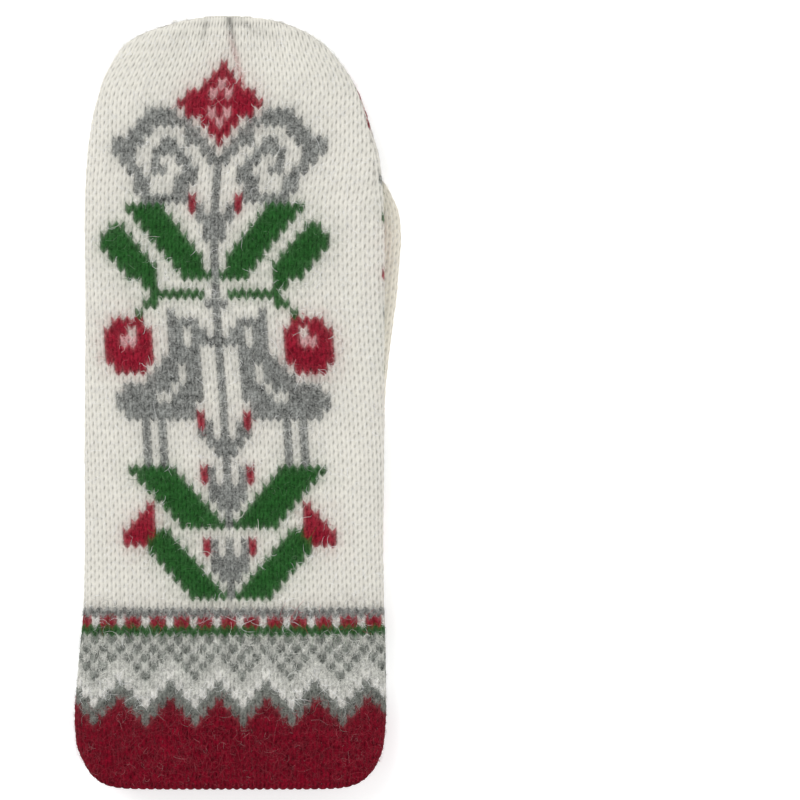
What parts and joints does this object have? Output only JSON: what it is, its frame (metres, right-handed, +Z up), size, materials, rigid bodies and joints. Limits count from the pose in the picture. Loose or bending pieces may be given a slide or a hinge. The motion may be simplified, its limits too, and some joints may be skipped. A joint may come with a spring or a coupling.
{
  "type": "knitted wool mitten",
  "caption": "Knitted left-hand mitten lying palm down: a hollow hand with a rounded, gathered tip, a straight cuff open at the wrist, and a thumb folded flat under the palm.",
  "frame": {"origin": "on the surface that the mitten lies on, under the middle of its bounding box", "axes": "+X towards the thumb's side, +Y from the cuff towards the fingertips, +Z up from the surface, through the back of the hand"},
  "size_m": [0.1133, 0.2708, 0.0232],
  "materials": {
    "hand_wool": "stranded knit wool, lightly fulled and hairy",
    "cuff_wool": "stranded knit wool in bands, lightly fulled and hairy",
    "thumb_wool": "plain knit wool, lightly fulled and hairy"
  },
  "bodies": {
    "root": {"hand": "hand_wool", "cuff": "cuff_wool", "thumb": "thumb_wool"}
  },
  "joints": []
}
